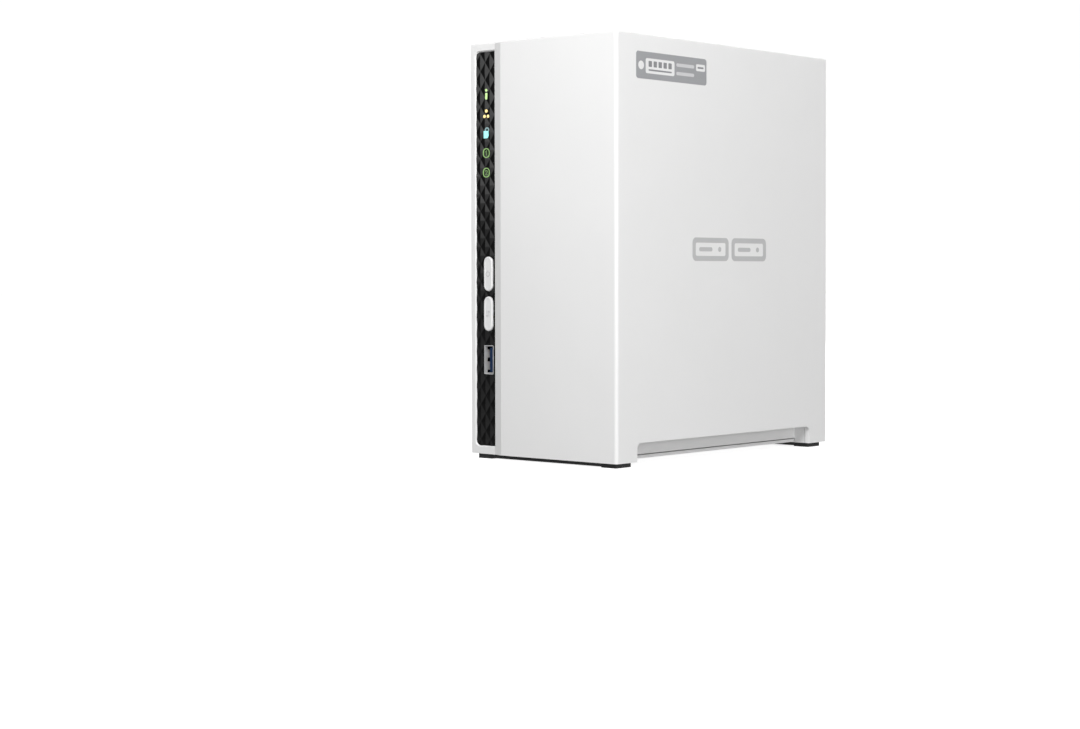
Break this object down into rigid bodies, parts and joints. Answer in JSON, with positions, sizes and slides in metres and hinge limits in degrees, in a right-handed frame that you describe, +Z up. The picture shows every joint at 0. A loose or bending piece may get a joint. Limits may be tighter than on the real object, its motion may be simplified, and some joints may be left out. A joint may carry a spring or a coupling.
{
  "type": "network storage enclosure",
  "caption": "Upright desktop storage enclosure with a removable white cover, faceted black front inlay, buttons, drive bays, circuit boards and a rear fan.",
  "frame": {"origin": "middle of the footprint, on the surface that the feet stand on", "axes": "+Z up, -Y the front, +X to the right seen from the front"},
  "size_m": [0.0901, 0.156, 0.1895],
  "materials": {
    "white_shell": "fine matte moulded white plastic",
    "foot_rubber": "dark grey soft rubber",
    "black_inlay": "satin black plastic moulded in small diamond facets",
    "button_white": "smooth satin white plastic",
    "bright_steel": "plain tinned steel",
    "blue_plastic": "blue moulded plastic",
    "black_plastic": "black moulded plastic",
    "gold_contact": "gold-plated contacts",
    "light_pipe": "clear frosted plastic",
    "circuit_board": "green solder mask",
    "led_body": "small moulded lamp bodies",
    "switch_body": "black switch housings",
    "ribbon": "flat white flexible cable",
    "chip_black": "matt black chip packages",
    "heatsink_metal": "natural anodised aluminium",
    "capacitor_can": "bare aluminium cans",
    "battery_steel": "bright steel coin cell",
    "header_white": "ivory plastic",
    "screw_steel": "nickel-plated screws",
    "socket_grey": "shielded socket",
    "cage_steel": "zinc-plated sheet steel",
    "tray_plastic": "dark grey moulded plastic",
    "fan_black": "black moulded plastic",
    "cable_black": "black cable sleeve",
    "label_grey": "grey paper label"
  },
  "bodies": {
    "chassis": {"left_shell": "white_shell", "base_tray": "white_shell", "bottom_plate": "white_shell", "front_foot": "foot_rubber", "rear_foot": "foot_rubber", "front_inlay": "black_inlay", "front_usb_shell": "bright_steel", "front_usb_tongue": "blue_plastic", "front_usb_contacts": "gold_contact", "status_light_pipe": "light_pipe", "lan_light_pipe": "light_pipe", "usb_light_pipe": "light_pipe", "drive_1_light_pipe": "light_pipe", "drive_2_light_pipe": "light_pipe", "front_board": "circuit_board", "front_leds": "led_body", "button_switches": "switch_body", "front_ribbon": "ribbon", "main_board": "circuit_board", "processor": "chip_black", "processor_heatsink": "heatsink_metal", "memory_chips": "chip_black", "capacitors": "capacitor_can", "clock_battery": "battery_steel", "board_header": "header_white", "board_screws": "screw_steel", "power_inlet": "black_plastic", "lan_socket": "socket_grey", "lan_contacts": "gold_contact", "rear_usb_shells": "bright_steel", "rear_usb_tongues": "black_plastic", "reset_switch": "switch_body", "backplane_board": "circuit_board", "backplane_socket": "black_plastic", "sata_connectors": "black_plastic", "cage_left_wall": "cage_steel", "cage_middle_wall": "cage_steel", "cage_right_wall": "cage_steel", "cage_rear_wall": "cage_steel", "cage_front_strip": "cage_steel", "cage_rear_strip": "cage_steel", "cage_screws": "screw_steel", "drive_tray_1": "tray_plastic", "drive_tray_2": "tray_plastic", "rear_panel": "white_shell", "fan_frame": "fan_black", "fan_screws": "screw_steel", "fan_cable": "cable_black", "cover_screws": "screw_steel", "plate_screws": "screw_steel"},
    "cover": {"cover": "white_shell", "side_label": "label_grey"},
    "power_button": {"power_button": "button_white"},
    "copy_button": {"copy_button": "button_white"},
    "reset_button": {"reset_button": "black_plastic"},
    "fan_rotor": {"fan_rotor": "fan_black"}
  },
  "joints": [
    {"name": "cover_slide", "type": "slide", "parent": "chassis", "child": "cover", "axis": [0, -1, 0], "range_m": [0, 0.17]},
    {"name": "power_button_press", "type": "slide", "parent": "chassis", "child": "power_button", "axis": [0, 1, 0], "range_m": [0, 0.0006], "stiffness_N_per_m": 1500, "springref_m": -0.0006},
    {"name": "copy_button_press", "type": "slide", "parent": "chassis", "child": "copy_button", "axis": [0, 1, 0], "range_m": [0, 0.0006], "stiffness_N_per_m": 1500, "springref_m": -0.0006},
    {"name": "reset_button_press", "type": "slide", "parent": "chassis", "child": "reset_button", "axis": [0, -1, 0], "range_m": [0, 0.0004], "stiffness_N_per_m": 1500, "springref_m": -0.0004},
    {"name": "fan_spin", "type": "hinge", "parent": "chassis", "child": "fan_rotor", "pos_m": [0.001, 0.06, 0.12], "axis": [0, 1, 0], "continuous": true}
  ]
}
